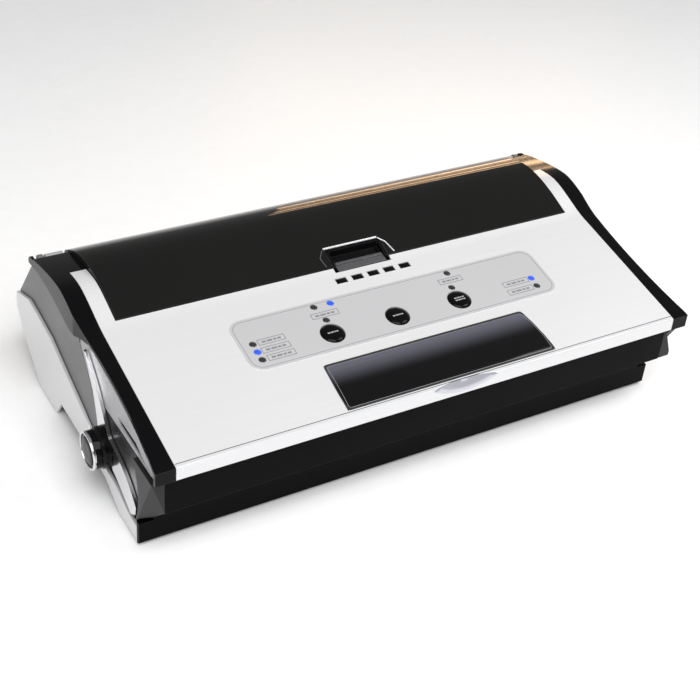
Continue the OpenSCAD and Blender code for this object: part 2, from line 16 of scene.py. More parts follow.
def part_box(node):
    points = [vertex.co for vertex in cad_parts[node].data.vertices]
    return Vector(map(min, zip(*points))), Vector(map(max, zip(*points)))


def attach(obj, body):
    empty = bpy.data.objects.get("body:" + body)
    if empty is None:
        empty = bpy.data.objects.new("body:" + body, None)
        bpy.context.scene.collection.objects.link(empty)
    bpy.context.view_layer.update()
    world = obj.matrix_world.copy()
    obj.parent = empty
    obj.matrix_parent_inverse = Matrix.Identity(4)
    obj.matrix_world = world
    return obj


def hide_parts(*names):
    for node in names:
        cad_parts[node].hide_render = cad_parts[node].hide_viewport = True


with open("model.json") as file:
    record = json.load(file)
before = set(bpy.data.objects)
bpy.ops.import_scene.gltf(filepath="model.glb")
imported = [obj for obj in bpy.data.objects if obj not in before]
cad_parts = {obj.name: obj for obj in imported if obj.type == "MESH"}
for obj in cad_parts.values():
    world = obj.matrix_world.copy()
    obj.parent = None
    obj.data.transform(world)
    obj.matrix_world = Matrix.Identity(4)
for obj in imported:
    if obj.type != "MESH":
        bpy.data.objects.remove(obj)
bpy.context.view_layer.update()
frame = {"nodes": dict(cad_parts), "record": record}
NODES = frame["nodes"]
MM = 0.001
BODY_OF = {node: body for body, members in frame["record"]["behaviour"]["bodies"].items()
           for node in members}
SLOT_OF = {s["node"]: s["material_slot"] for s in frame["record"]["subparts"]}

# %% [markdown]
# ## The camera
# The machine is seen from the front left, about 35 degrees above the worktop, and the
# camera is rolled slightly, as a hand-levelled tripod often is. A tracking constraint could
# aim it, but not roll it. A camera looks along its own -Z axis, so its matrix is built from
# three directions: right, up and backwards.

# %% Camera
CAMERA_AT = Vector((-0.4224, -0.6436, 0.5742))
CAMERA_TO = Vector((-0.01425, -0.0247, 0.0469))
CAMERA_RIGHT = Vector((0.862, -0.501, 0.079))

back = (CAMERA_AT - CAMERA_TO).normalized()
right = (CAMERA_RIGHT - back * CAMERA_RIGHT.dot(back)).normalized()
up = back.cross(right)
camera_data = bpy.data.cameras.new("camera")
camera_data.lens = 68.1
camera_data.sensor_width = 36.0
camera = bpy.data.objects.new("camera", camera_data)
camera.matrix_world = Matrix((
    (right.x, up.x, back.x, CAMERA_AT.x), (right.y, up.y, back.y, CAMERA_AT.y),
    (right.z, up.z, back.z, CAMERA_AT.z), (0, 0, 0, 1)))
bpy.context.scene.collection.objects.link(camera)
bpy.context.scene.camera = camera
print("camera looks down by", round(math.degrees(math.asin(back.z)), 1), "degrees")

# %% [markdown]
# ## Light
# Glossy black parts show whatever they reflect, while the steel lid has to look pale. So
# the sky is dim, which keeps the gloss black, and the main lights stand behind the camera
# and at the left, where they brighten pale surfaces without showing in the gloss. A few
# long warm strips behind the machine draw thin tan streaks along the cover's back edge.

# %% Lights
SKY_STRENGTH = 0.30
bpy.context.scene.view_settings.view_transform = "Standard"
world = bpy.data.worlds.new("studio")
world.use_nodes = True
world.node_tree.nodes["Background"].inputs["Color"].default_value = (1, 1, 1, 1)
world.node_tree.nodes["Background"].inputs["Strength"].default_value = SKY_STRENGTH
bpy.context.scene.world = world


def softbox(name, at, to, size, power, colour=(1, 1, 1)):
    data = bpy.data.lights.new(name, "AREA")
    data.shape, data.size, data.size_y = "RECTANGLE", size[0], size[1]
    data.energy, data.color = power, colour
    lamp = bpy.data.objects.new(name, data)
    lamp.location = at
    lamp.rotation_euler = (Vector(to) - Vector(at)).to_track_quat("-Z", "Y").to_euler()
    bpy.context.scene.collection.objects.link(lamp)
    return lamp


softbox("key", (-0.3, -1.1, 1.7), (0, 0, 0), (1.5, 1.5), 38)
softbox("left_side", (-1.7, -0.5, 0.9), (0, 0, 0.05), (0.9, 0.9), 7)
WARM = (1.0, 0.64, 0.36)
COVER_REAR = (0.10, 0.08, 0.12)
STRIP_LENGTH = 0.52
STRIPS = ((0.04, 0.012, 0.012), (0.085, 0.03, 0.04), (0.15, 0.012, 0.018), (0.2, 0.014, 0.015),
          (0.27, 0.04, 0.06), (0.35, 0.025, 0.035))
for height, deep, power in STRIPS:
    strip = softbox("warm_strip", (0.60, 0.80, height), COVER_REAR, (STRIP_LENGTH, deep), power, WARM)
    strip.data.spread = math.radians(50)
    strip.visible_camera = False
softbox("right_fill", (0.75, -0.35, 0.9), (0.2, 0, 0.09), (0.5, 0.5), 4.0)

# %% [markdown]
# ## Node groups
# Real surfaces are never one flat colour. Four small groups are built once and shared:
# a fine grain for moulded plastic, long brushing lines for metal, broad cloudy smudges,
# and a mask of the edges, whose pale tint is partly wear and partly painted highlight. Each has named inputs,
# so one group serves many finishes.


# %% Group helpers
def new_group(name, inputs, outputs):
    group = bpy.data.node_groups.new(name, "ShaderNodeTree")
    for label, kind, value in inputs:
        socket = group.interface.new_socket(label, in_out="INPUT", socket_type=kind)
        if value is not None:
            socket.default_value = value
    for label, kind in outputs:
        group.interface.new_socket(label, in_out="OUTPUT", socket_type=kind)
    return group, group.nodes.new("NodeGroupInput"), group.nodes.new("NodeGroupOutput")


def add(tree, kind, links=(), **settings):
    node = tree.nodes.new(kind)
    for key, value in settings.items():
        if hasattr(node, key):
            setattr(node, key, value)
        else:
            node.inputs[key].default_value = value
    for socket, source in links:
        tree.links.new(source, node.inputs[socket])
    return node


FLOAT, VECTOR = "NodeSocketFloat", "NodeSocketVector"

# %% Moulded grain
grain_group, g_in, g_out = new_group(
    "moulded_grain", [("Vector", VECTOR, None), ("Fineness", FLOAT, 900.0)],
    [("Height", FLOAT), ("Speckle", FLOAT)])
pits = add(grain_group, "ShaderNodeTexVoronoi", [("Vector", g_in.outputs[0]), ("Scale", g_in.outputs[1])])
cloud = add(grain_group, "ShaderNodeTexNoise", [("Vector", g_in.outputs[0]), ("Scale", g_in.outputs[1])],
            Detail=4.0, Roughness=0.6)
both = add(grain_group, "ShaderNodeMath", [(0, pits.outputs["Distance"]), (1, cloud.outputs["Fac"])],
           operation="MULTIPLY")
grain_group.links.new(both.outputs[0], g_out.inputs["Height"])
grain_group.links.new(cloud.outputs["Fac"], g_out.inputs["Speckle"])

# %% Brushing lines
brush_group, g_in, g_out = new_group(
    "brushing", [("Vector", VECTOR, None), ("Lines", VECTOR, (3.0, 2600.0, 2600.0))],
    [("Height", FLOAT), ("Broad", FLOAT)])
stretched = add(brush_group, "ShaderNodeVectorMath", [(0, g_in.outputs[0]), (1, g_in.outputs[1])],
                operation="MULTIPLY")
fine = add(brush_group, "ShaderNodeTexNoise", [("Vector", stretched.outputs[0])], Scale=1.0, Detail=5.0,
           Roughness=0.7)
slower = add(brush_group, "ShaderNodeVectorMath", [(0, stretched.outputs[0])], operation="SCALE")
slower.inputs["Scale"].default_value = 0.12
broad = add(brush_group, "ShaderNodeTexNoise", [("Vector", slower.outputs[0])], Scale=1.0, Detail=3.0)
brush_group.links.new(fine.outputs["Fac"], g_out.inputs["Height"])
brush_group.links.new(broad.outputs["Fac"], g_out.inputs["Broad"])

# %% Smudges
smudge_group, g_in, g_out = new_group(
    "smudges", [("Vector", VECTOR, None), ("Size", FLOAT, 18.0), ("Low", FLOAT, 0.2), ("High", FLOAT, 0.3)],
    [("Value", FLOAT), ("Mask", FLOAT)])
patches = add(smudge_group, "ShaderNodeTexNoise", [("Vector", g_in.outputs[0]), ("Scale", g_in.outputs[1])],
              Detail=6.0, Roughness=0.55, Distortion=0.4)
spread = add(smudge_group, "ShaderNodeMapRange", [("Value", patches.outputs["Fac"]),
             ("To Min", g_in.outputs[2]), ("To Max", g_in.outputs[3])])
spread.inputs["From Min"].default_value, spread.inputs["From Max"].default_value = 0.3, 0.7
smudge_group.links.new(spread.outputs[0], g_out.inputs["Value"])
smudge_group.links.new(patches.outputs["Fac"], g_out.inputs["Mask"])

# %% Worn and highlit edges
# The pale tint this mask lays on edges is partly real wear and partly a painted highlight along the edges.
wear_and_highlight_group, g_in, g_out = new_group(
    "worn_and_highlit_edges", [("Vector", VECTOR, None), ("Patchiness", FLOAT, 160.0)], [("Mask", FLOAT)])
geometry = add(wear_and_highlight_group, "ShaderNodeNewGeometry")
turned = add(wear_and_highlight_group, "ShaderNodeBevel", samples=4)
turned.inputs["Radius"].default_value = 0.0007
facing = add(wear_and_highlight_group, "ShaderNodeVectorMath", [(0, turned.outputs[0]), (1, geometry.outputs["Normal"])],
             operation="DOT_PRODUCT")
edge = add(wear_and_highlight_group, "ShaderNodeMapRange", [("Value", facing.outputs["Value"])])
edge.inputs["From Min"].default_value, edge.inputs["From Max"].default_value = 0.985, 0.88
patch = add(wear_and_highlight_group, "ShaderNodeTexNoise", [("Vector", g_in.outputs[0]), ("Scale", g_in.outputs[1])],
            Detail=3.0)
worn_and_highlit = add(wear_and_highlight_group, "ShaderNodeMath", [(0, edge.outputs[0]), (1, patch.outputs["Fac"])],
           operation="MULTIPLY")
wear_and_highlight_group.links.new(worn_and_highlit.outputs[0], g_out.inputs["Mask"])
print("groups", [g.name for g in bpy.data.node_groups])


# %% [markdown]
# ## Finishes
# One function lays out every opaque finish in the same order: colour varied by a mask,
# roughness varied by smudges, and a bump from grain or brushing. The colour, roughness,
# metal and coat of each finish are its own. Values that are the same all over a surface
# are set straight on the shader, so that nothing is lost when the model is exported.


# %% The finish function
def finish(name, colour, rough, second=None, metallic=0.0, coat=0.0, coat_rough=0.05, grain=None, ior=1.5,
           grain_height=0.02, lines=None, line_height=0.01, wear_and_highlight=None, wear_and_highlight_strength=0.3,
           smudge_size=18.0, specular=0.5, bump_distance=0.0002):
    material = bpy.data.materials.new(name)
    material.use_nodes = True
    tree = material.node_tree
    shader = tree.nodes["Principled BSDF"]
    shader.inputs["Metallic"].default_value = metallic
    shader.inputs["Coat Weight"].default_value = coat
    shader.inputs["Coat Roughness"].default_value = coat_rough
    shader.inputs["Specular IOR Level"].default_value = specular
    shader.inputs["IOR"].default_value = ior
    place = add(tree, "ShaderNodeTexCoord").outputs["Object"]
    smudge = add(tree, "ShaderNodeGroup", node_tree=smudge_group)
    tree.links.new(place, smudge.inputs["Vector"])
    smudge.inputs["Size"].default_value = smudge_size
    smudge.inputs["Low"].default_value, smudge.inputs["High"].default_value = rough
    tree.links.new(smudge.outputs["Value"], shader.inputs["Roughness"])
    second = second or tuple(min(1.0, c * 1.12 + 0.002) for c in colour)
    mix = add(tree, "ShaderNodeMix", data_type="RGBA")
    mix.inputs["A"].default_value = (*colour, 1)
    mix.inputs["B"].default_value = (*second, 1)
    mask, height, strength = smudge.outputs["Mask"], None, 0
    if grain:
        texture = add(tree, "ShaderNodeGroup", node_tree=grain_group)
        tree.links.new(place, texture.inputs["Vector"])
        texture.inputs["Fineness"].default_value = grain
        mask, height, strength = texture.outputs["Speckle"], texture.outputs["Height"], grain_height
    if lines:
        texture = add(tree, "ShaderNodeGroup", node_tree=brush_group)
        tree.links.new(place, texture.inputs["Vector"])
        texture.inputs["Lines"].default_value = lines
        mask, height, strength = texture.outputs["Height"], texture.outputs["Height"], line_height
    for socket in mix.inputs:
        if socket.name == "Factor" and socket.type == "VALUE":
            tree.links.new(mask, socket)
            break
    colour_out = [s for s in mix.outputs if s.type == "RGBA"][0]
    # Pale edge tint: partly real wear, partly a painted highlight on the edges.
    if wear_and_highlight:
        edges = add(tree, "ShaderNodeGroup", node_tree=wear_and_highlight_group)
        tree.links.new(place, edges.inputs["Vector"])
        amount = add(tree, "ShaderNodeMath", [(0, edges.outputs["Mask"])], operation="MULTIPLY")
        amount.inputs[1].default_value = wear_and_highlight_strength
        over = add(tree, "ShaderNodeMix", data_type="RGBA")
        over.inputs["B"].default_value = (*wear_and_highlight, 1)
        tree.links.new(colour_out, over.inputs["A"])
        tree.links.new(amount.outputs[0], over.inputs["Factor"])
        colour_out = [s for s in over.outputs if s.type == "RGBA"][0]
    tree.links.new(colour_out, shader.inputs["Base Color"])
    if height is not None:
        bump = add(tree, "ShaderNodeBump", [("Height", height)], Strength=strength, Distance=bump_distance)
        tree.links.new(bump.outputs[0], shader.inputs["Normal"])
    return material


# %% [markdown]
# ## One finish for each material slot
# The record names a material slot for every piece. The table below gives each slot its
# finish. Moulded plastics get a fine grain, metals get brushing across the width, and the
# gloss parts stay smooth with a little handling haze and pale edges, which are partly wear and partly painted
# highlight.

# %% Finishes by slot
FINISHES = {
    "black_shell": finish("black_shell", (0.0016, 0.0016, 0.002), (0.34, 0.46), grain=1500, grain_height=0.25,
                          specular=0.04, wear_and_highlight=(0.07, 0.07, 0.07)),
    "dark_grey_shell": finish("dark_grey_shell", (0.012, 0.012, 0.013), (0.36, 0.48), grain=1500,
                              specular=0.2, grain_height=0.35, wear_and_highlight=(0.16, 0.16, 0.16)),
    "silver_panel": finish("silver_panel", (0.62, 0.62, 0.63), (0.26, 0.34), metallic=0.25, coat=0.3,
                           coat_rough=0.2, grain=3500, grain_height=0.10, smudge_size=9),
    "grey_shell": finish("grey_shell", (0.135, 0.135, 0.14), (0.38, 0.5), grain=1500, grain_height=0.35,
                         wear_and_highlight=(0.45, 0.45, 0.45)),
    "light_shell": finish("light_shell", (0.34, 0.34, 0.35), (0.36, 0.46), grain=1600, grain_height=0.3,
                          wear_and_highlight=(0.7, 0.7, 0.7)),
    # On gloss black the pale edge tint also paints the thin highlight lines along the cap edges.
    "gloss_black": finish("gloss_black", (0.002, 0.002, 0.0025), (0.07, 0.13), ior=1.2,
                          wear_and_highlight=(0.10, 0.10, 0.10), wear_and_highlight_strength=0.4),
    "tinted_cover": finish("tinted_cover", (0.009, 0.0087, 0.0085), (0.04, 0.08),
                           second=(0.013, 0.0125, 0.012), ior=1.16, wear_and_highlight=(0.20, 0.18, 0.15),
                           wear_and_highlight_strength=0.5, smudge_size=6),
    "brushed_plate": finish("brushed_plate", (0.77, 0.77, 0.78), (0.30, 0.38), second=(0.86, 0.86, 0.865),
                            metallic=0.35, lines=(5.0, 1900.0, 1900.0), line_height=0.12, smudge_size=5),
    "overlay_film": finish("overlay_film", (0.62, 0.62, 0.63), (0.26, 0.32), second=(0.65, 0.65, 0.66),
                           metallic=0.35, smudge_size=4),
    "bright_strip": finish("bright_strip", (0.66, 0.66, 0.67), (0.20, 0.28), metallic=0.2,
                           lines=(8.0, 900.0, 900.0), line_height=0.03),
    "lever_metal": finish("lever_metal", (0.70, 0.70, 0.72), (0.14, 0.22), metallic=1.0, grain=900,
                          grain_height=0.04),
    "grey_tab": finish("grey_tab", (0.05, 0.05, 0.052), (0.22, 0.32), second=(0.09, 0.09, 0.095), grain=1800,
                       grain_height=0.15, wear_and_highlight=(0.4, 0.4, 0.4)),
    "led_dark": finish("led_dark", (0.02, 0.02, 0.022), (0.14, 0.22), coat=0.5, grain=800, grain_height=0.05),
    "rubber": finish("rubber", (0.018, 0.018, 0.018), (0.62, 0.8), grain=1100, grain_height=0.5),
    "silicone": finish("silicone", (0.42, 0.40, 0.36), (0.45, 0.58), grain=700, grain_height=0.15),
    "steel": finish("steel", (0.52, 0.52, 0.54), (0.24, 0.38), metallic=1.0, lines=(60.0, 1500.0, 1500.0),
                    line_height=0.06),
    "rail_aluminium": finish("rail_aluminium", (0.66, 0.66, 0.68), (0.26, 0.36), metallic=1.0,
                             lines=(6.0, 1200.0, 1200.0), line_height=0.08),
    "red_plastic": finish("red_plastic", (0.36, 0.02, 0.015), (0.26, 0.38), grain=1400, grain_height=0.2,
                          wear_and_highlight=(0.6, 0.3, 0.26)),
    "heater_base": finish("heater_base", (0.45, 0.32, 0.16), (0.45, 0.6), lines=(20.0, 700.0, 700.0),
                          line_height=0.15),
    "tray_black": finish("tray_black", (0.012, 0.012, 0.014), (0.24, 0.36), grain=1300, grain_height=0.2),
    "white_plastic": finish("white_plastic", (0.60, 0.59, 0.56), (0.36, 0.5), grain=1500, grain_height=0.2),
    "circuit_board": finish("circuit_board", (0.012, 0.09, 0.035), (0.2, 0.3), second=(0.02, 0.14, 0.05),
                            coat=0.4, grain=500, grain_height=0.05),
    "release_tape": finish("release_tape", (0.30, 0.17, 0.07), (0.4, 0.5), second=(0.40, 0.25, 0.12),
                           grain=1600, grain_height=0.3),
    "window_black": finish("window_black", (0.003, 0.003, 0.004), (0.07, 0.12), specular=0.3),
    # The scoop's tint, darker and bluer than the bright strip, is painted shade with a blue-grey cast for the
    # hollow.
    "scoop_painted_shade": finish("scoop_painted_shade", (0.56, 0.56, 0.62), (0.22, 0.3), metallic=0.7,
                          lines=(8.0, 900.0, 900.0), line_height=0.03),
    "label_grey": finish("label_grey", (0.22, 0.22, 0.23), (0.4, 0.5), grain=900, grain_height=0.02),
    "label_dark": finish("label_dark", (0.20, 0.20, 0.21), (0.4, 0.5), grain=900, grain_height=0.02),
    "label_white": finish("label_white", (0.34, 0.34, 0.35), (0.3, 0.4), grain=900, grain_height=0.02),
}

# %% [markdown]
# ## Lit indicators
# A lit indicator is a small lens that gives off blue light. Its emission colour varies in fine
# noisy patches between a deep and a paler blue, so it reads as a lamp and not as paint.

# %% Lit lens
lit = bpy.data.materials.new("led_blue")
lit.use_nodes = True
lit_shader = lit.node_tree.nodes["Principled BSDF"]
lit_shader.inputs["Base Color"].default_value = (0.01, 0.04, 0.45, 1)
lit_shader.inputs["Roughness"].default_value = 0.15
lit_shader.inputs["Emission Strength"].default_value = 0.55
lit_place = add(lit.node_tree, "ShaderNodeTexCoord").outputs["Object"]
glow = add(lit.node_tree, "ShaderNodeTexNoise", [("Vector", lit_place)], Scale=260.0, Detail=2.0)
glow_colour = add(lit.node_tree, "ShaderNodeValToRGB", [("Fac", glow.outputs["Fac"])])
glow_colour.color_ramp.elements[0].color = (0.01, 0.05, 0.75, 1)
glow_colour.color_ramp.elements[1].color = (0.10, 0.26, 1.0, 1)
lit.node_tree.links.new(glow_colour.outputs[0], lit_shader.inputs["Emission Color"])
FINISHES["led_blue"] = lit


def dress(piece, slot):
    piece.data.materials.clear()
    piece.data.materials.append(FINISHES[slot])


for node, piece in NODES.items():
    dress(piece, SLOT_OF[node])
print("finishes", len(FINISHES))

# %% [markdown]
# ## Softened edges
# Moulded and pressed parts never have knife edges. A frame solid is a shell of loose
# triangles, so a copy is merged, its flat faces are joined, and every sharp edge gets a
# small bevel. Weighted normals then keep the large faces flat and let only the bevel
# catch the light. If a bevel would push the copy outside its own box, it is dropped.


# %% Turn a bmesh into a piece
SAME_POINT = 2e-6
MAY_GROW = 0.00008


def piece_from(shape, name, body, slot, stands_for=(), smooth=32, weighted=False, look=None):
    bmesh.ops.remove_doubles(shape, verts=shape.verts, dist=SAME_POINT)
    bmesh.ops.recalc_face_normals(shape, faces=shape.faces)
    for face in shape.faces:
        face.smooth = True
    for edge in shape.edges:
        edge.smooth = len(edge.link_faces) == 2 and edge.calc_face_angle(0) < math.radians(smooth)
    data = bpy.data.meshes.new(name)
    shape.to_mesh(data)
    shape.free()
    piece = bpy.data.objects.new(name, data)
    bpy.context.scene.collection.objects.link(piece)
    if weighted:
        modifier = piece.modifiers.new("flat_faces", "WEIGHTED_NORMAL")
        modifier.keep_sharp = True
    dress(piece, look or slot)
    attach(piece, body)
    if stands_for:
        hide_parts(*stands_for)
    print(name, len(data.polygons), "faces on", body)
    return piece


def merged_copy(node):
    shape = bmesh.new()
    shape.from_mesh(NODES[node].data)
    bmesh.ops.remove_doubles(shape, verts=shape.verts, dist=SAME_POINT)
    bmesh.ops.dissolve_limit(shape, angle_limit=math.radians(0.3), verts=shape.verts, edges=shape.edges)
    return shape


def reach(shape):
    return [f(v.co[i] for v in shape.verts) for i in range(3) for f in (min, max)]


def softened(node, radius, segments=2, sharper_than=28, look=None):
    shape = merged_copy(node)
    before = reach(shape)
    edges = [e for e in shape.edges
             if len(e.link_faces) == 2 and e.calc_face_angle(0) > math.radians(sharper_than)]
    bmesh.ops.bevel(shape, geom=edges, offset=radius, offset_type="OFFSET", segments=segments, profile=0.5,
                    affect="EDGES", clamp_overlap=True, material=-1)
    grown = max(abs(a - b) for a, b in zip(before, reach(shape)))
    if grown > MAY_GROW:
        shape.free()
        shape = merged_copy(node)
        print("kept plain edges on", node)
    return piece_from(shape, node + "_soft", BODY_OF[node], SLOT_OF[node], [node], weighted=True, look=look)


SOFT_EDGES = {
    "base_pan": 0.5, "front_housing": 0.5, "left_side_frame": 0.5, "right_side_frame": 0.5,
    "left_side_panel": 0.6, "right_side_panel": 0.6, "left_cheek": 0.4, "right_cheek": 0.4,
    "rear_cover": 0.4, "roll_cradle": 0.4, "lid_shell": 0.35, "left_end_cap": 1.0, "right_end_cap": 1.0,
    "front_strip": 0.3, "roll_cover": 0.5, "latch_housing": 0.3, "lid_inner_cover": 0.4,
    "lower_gasket": 0.5, "upper_gasket": 0.5, "pressure_strip": 0.6, "heater_bar": 0.4, "drip_tray": 0.25,
    "lever_shaft": 0.4, "cutter_rail": 0.12, "cutter_slider": 0.5, "pump_head": 1.0, "vacuum_switch": 0.5,
    "lid_switches": 0.3, "lid_hooks": 0.2, "lock_cams": 0.3, "mains_inlet": 0.3, "shaft_bushes": 0.2,
    "lid_plate": 0.12,
}
for node, radius in SOFT_EDGES.items():
    softened(node, radius * MM)
print("softened", len(SOFT_EDGES))

# %% Scoop and film
# The scoop gets the darker, bluish finish that paints the shade in the hollow.
scoop = bmesh.new()
scoop.from_mesh(NODES["finger_grip"].data)
bmesh.ops.remove_doubles(scoop, verts=scoop.verts, dist=SAME_POINT)
piece_from(scoop, "scoop_shell", "lid", SLOT_OF["finger_grip"], ["finger_grip"], look="scoop_painted_shade")
film_sheet = merged_copy("control_overlay")
bmesh.ops.triangulate(film_sheet, faces=film_sheet.faces[:], quad_method="BEAUTY", ngon_method="BEAUTY")
piece_from(film_sheet, "film_sheet", "lid", "overlay_film", ["control_overlay"], weighted=True)

# %% [markdown]
# ## Working on the sloping control face
# The lid's face leans 12 degrees. Small parts are built flat, in millimetres, with z as
# the height above the face, and one matrix carries them onto it.

# %% Face matrix
FACE_SLOPE = math.radians(12)
LID_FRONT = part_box("front_strip")[0].y
LID_FRONT_HEIGHT = 0.078
FACE = (Matrix.Translation((0, LID_FRONT, LID_FRONT_HEIGHT)) @ Matrix.Rotation(FACE_SLOPE, 4, "X")
        @ Matrix.Scale(MM, 4))
LIT = ((-103.3, 66.2), (-38.6, 90.2), (109.6, 67.4))
UNLIT = ((-103.3, 73.1), (-103.3, 59.4), (-50.9, 90.2), (53.4, 90.4), (109.3, 59.7), (-48.4, 77.2),
         (49.2, 77.2))
BUTTONS = {"seal_button": -50.0, "stop_button": -1.0, "vacuum_button": 48.0}
BUTTON_UP = 65.4


def settle(part, place, into):
    bmesh.ops.transform(part, matrix=place, verts=part.verts)
    if into is None:
        return part
    holder = bpy.data.meshes.new("holder")
    part.to_mesh(holder)
    part.free()
    into.from_mesh(holder)
    bpy.data.meshes.remove(holder)
    return into


def lathe(profile, steps, place=Matrix.Identity(4), into=None):
    part = bmesh.new()
    points = [part.verts.new((r, 0, h)) for r, h in profile]
    edges = [part.edges.new(pair) for pair in zip(points, points[1:])]
    bmesh.ops.spin(part, geom=points + edges, cent=(0, 0, 0), axis=(0, 0, 1),
                   angle=2 * math.pi, steps=steps, use_merge=True)
    return settle(part, place, into)


def block(into, low, high, place=Matrix.Identity(4), round_by=0.0, segments=2):
    part = bmesh.new()
    size = [h - l for l, h in zip(low, high)]
    middle = [(h + l) / 2 for l, h in zip(low, high)]
    bmesh.ops.create_cube(part, size=1.0, matrix=Matrix.Translation(middle) @ Matrix.Diagonal((*size, 1)))
    if round_by:
        bmesh.ops.bevel(part, geom=part.edges[:], offset=round_by, offset_type="OFFSET", segments=segments,
                        profile=0.5, affect="EDGES", clamp_overlap=True, material=-1)
    return settle(part, place, into)


print("face matrix ready")

# %% [markdown]
# ## Push buttons
# Each button is a shallow gloss dome. A spun profile gives the dome, the small groove
# round it and the skirt that goes down through the lid in one piece. The short pale bars
# on the dome, made with the printed marks below, stand in for the printed words.

# %% Buttons
BUTTON_R = (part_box("seal_button")[1].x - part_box("seal_button")[0].x) / 2 / MM
for node, x in BUTTONS.items():
    at = FACE @ Matrix.Translation((x, BUTTON_UP, 0))
    profile = ((0, 1.6), (2.2, 1.57), (4.4, 1.45), (6.0, 1.2), (7.0, 0.85), (7.6, 0.45), (7.95, 0.0),
               (BUTTON_R, -0.4), (BUTTON_R, -2.6), (2.0, -2.6), (2.0, -9.0), (0, -9.0))
    piece_from(lathe(profile, 64, at), node + "_dome", node, "gloss_black", [node])

# %% [markdown]
# ## Printed marks
# The film carries small outlined label boxes. Real ones hold words, which this model
# leaves out, so each box has only plain dashes. A box is a grid face inset into a frame;
# the inner face is deleted and the frame is raised by a hair so that it catches light.


# %% Label boxes
def outline_box(into, x, y, w, h, line, height, place):
    part = bmesh.new()
    bmesh.ops.create_grid(part, x_segments=1, y_segments=1, size=0.5,
                          matrix=Matrix.Translation((x, y, 0)) @ Matrix.Diagonal((w, h, 1, 1)))
    bmesh.ops.inset_region(part, faces=part.faces[:], thickness=line, use_even_offset=True,
                            use_boundary=True)
    middle = min(part.faces, key=lambda f: (f.calc_center_median() - Vector((x, y, 0))).length)
    bmesh.ops.delete(part, geom=[middle], context="FACES_ONLY")
    raised = bmesh.ops.extrude_face_region(part, geom=part.faces[:])
    bmesh.ops.translate(part, vec=(0, 0, height),
                        verts=[g for g in raised["geom"] if isinstance(g, bmesh.types.BMVert)])
    return settle(part, place, into)


LABELS = ((-90.3, 73.1, 19), (-90.3, 66.2, 20), (-89.8, 59.4, 19.5), (-46.7, 82.3, 20), (52.1, 83.8, 18.5),
          (96.2, 67.2, 21), (95.5, 59.6, 21))
FILM_TOP = 0.37
print_lift = FACE @ Matrix.Translation((0, 0, FILM_TOP))
boxes = bmesh.new()
dashes = bmesh.new()
DASHES = ((-0.36, 0.15), (-0.17, 0.20), (0.07, 0.11), (0.22, 0.13))
DASH_HALF = 0.75
for x, y, wide in LABELS:
    outline_box(boxes, x, y, wide, 5.0, 0.5, 0.05, print_lift)
    for start, length in DASHES:
        block(dashes, (x + start * wide, y - DASH_HALF, 0),
              (x + (start + length) * wide, y + DASH_HALF, 0.04), print_lift)
piece_from(boxes, "label_boxes", "lid", "overlay_film", look="label_grey")
piece_from(dashes, "label_dashes", "lid", "overlay_film", look="label_dark")

# %% Button marks
BARS = ((-3.9, -2.0), (-1.6, 0.5), (0.9, 1.9), (2.3, 3.8))
BAR_HALF = 0.5
for node, x in BUTTONS.items():
    mark = bmesh.new()
    cap = FACE @ Matrix.Translation((x, BUTTON_UP, 1.47))
    rows = (0.9, -1.1) if node == "vacuum_button" else (-0.1,)
    for row in rows:
        for bar_left, bar_right in BARS:
            block(mark, (bar_left, row - BAR_HALF, -0.25), (bar_right, row + BAR_HALF, 0.17), cap)
    piece_from(mark, node + "_mark", node, "gloss_black", look="label_white")

# %% [markdown]
# ## Indicator lenses
# Each indicator is a small plastic light guide that comes up through the film. Its end is a
# low dome, so it could be a squashed sphere on a cylinder. A spun profile is chosen, because
# one outline gives the dome, the edge and the stem without a seam between them. All the lit
# lenses are one piece and all the dark ones another, as each set has its own finish.

# %% Lenses
LED_R = 2.3
LENS_SETS = (("lit", LIT, "led_blue", "leds_lit"), ("unlit", UNLIT, "led_dark", "leds_dark"))
for name, places, slot, node in LENS_SETS:
    lenses = bmesh.new()
    for x, y in places:
        lathe(((0, 0.42), (0.9, 0.40), (1.6, 0.34), (2.05, 0.22), (LED_R, 0.0), (LED_R, -11.0), (0, -11.0)),
              24, FACE @ Matrix.Translation((x, y, 0)), lenses)
    piece_from(lenses, "lenses_" + name, "lid", slot, [node])

# %% [markdown]
# ## The sealing window
# The long dark window is a thick glossy panel with a slightly rounded section and small
# corner radii. One outline makes both the panel and a pale bead just inside its edge, which is a
# painted highlight, and a slightly larger one makes the dark reveal outside. The finish is the special
# part: a painted sheen, blue-grey with fine brushed lines along the back edge and fading to black in front.

# %% Window finish
glass = FINISHES["window_black"]
tree = glass.node_tree
shader = tree.nodes["Principled BSDF"]
place = add(tree, "ShaderNodeTexCoord").outputs["Object"]
window_low, window_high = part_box("window")
# Painted sheen: a blue-grey gradient with brushed lines, bright at the back edge and fading to black in
# front, is put in the base colour in place of a reflection.
split = add(tree, "ShaderNodeSeparateXYZ", [(0, place)])
sheen_fade = add(tree, "ShaderNodeMapRange", [("Value", split.outputs["Y"])], interpolation_type="SMOOTHSTEP")
sheen_fade.inputs["From Min"].default_value = window_low.y + 0.016
sheen_fade.inputs["From Max"].default_value = window_high.y
streaks = add(tree, "ShaderNodeGroup", [("Vector", place)], node_tree=brush_group)
streaks.inputs["Lines"].default_value = (6.0, 1500.0, 1500.0)
even = add(tree, "ShaderNodeMath", [(0, streaks.outputs["Height"])], operation="MULTIPLY_ADD")
even.inputs[1].default_value, even.inputs[2].default_value = 0.45, 0.5
painted_sheen = add(tree, "ShaderNodeMath", [(0, sheen_fade.outputs[0]), (1, even.outputs[0])], operation="MULTIPLY")
sheen_ramp = add(tree, "ShaderNodeValToRGB", [("Fac", painted_sheen.outputs[0])])
sheen_ramp.color_ramp.elements[0].color = (0.0022, 0.0022, 0.0028, 1)
